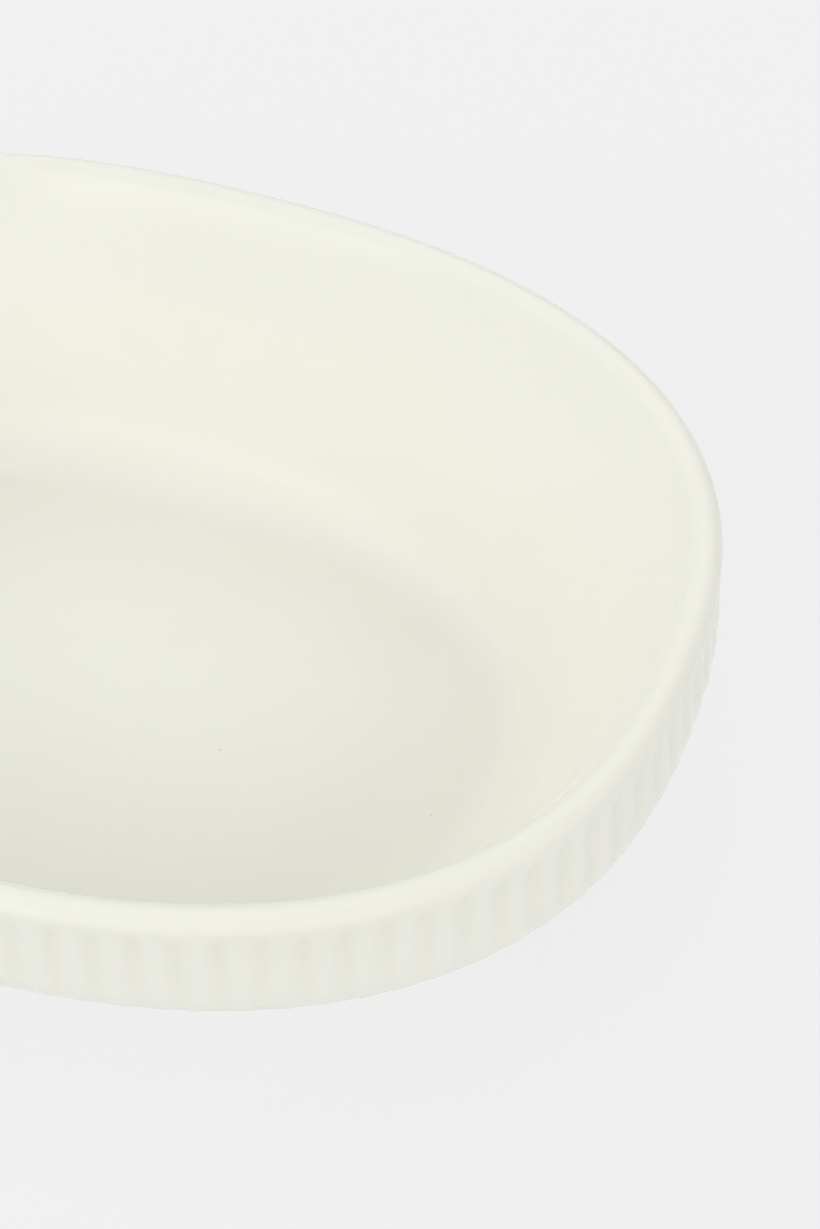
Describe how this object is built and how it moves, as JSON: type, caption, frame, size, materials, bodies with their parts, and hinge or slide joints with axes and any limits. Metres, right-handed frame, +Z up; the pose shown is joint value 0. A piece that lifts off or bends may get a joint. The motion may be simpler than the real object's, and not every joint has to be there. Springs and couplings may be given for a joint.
{
  "type": "baking dish",
  "caption": "Oval glazed porcelain baking dish with a rounded rim, a reeded outside wall that turns under to a foot ring, and a smooth flared bowl.",
  "frame": {"origin": "on the standing plane, under the middle of the dish", "axes": "+X along the dish, +Y across it, +Z up out of the bowl"},
  "size_m": [0.2418, 0.1832, 0.0656],
  "materials": {
    "biscuit": "fired unglazed porcelain, matt, seen on the foot ring",
    "glaze": "warm ivory transparent glaze over white porcelain, glossy"
  },
  "bodies": {
    "root": {"porcelain_body": "biscuit", "inside_glaze": "glaze", "outside_glaze": "glaze", "underside_glaze": "glaze"}
  },
  "joints": []
}
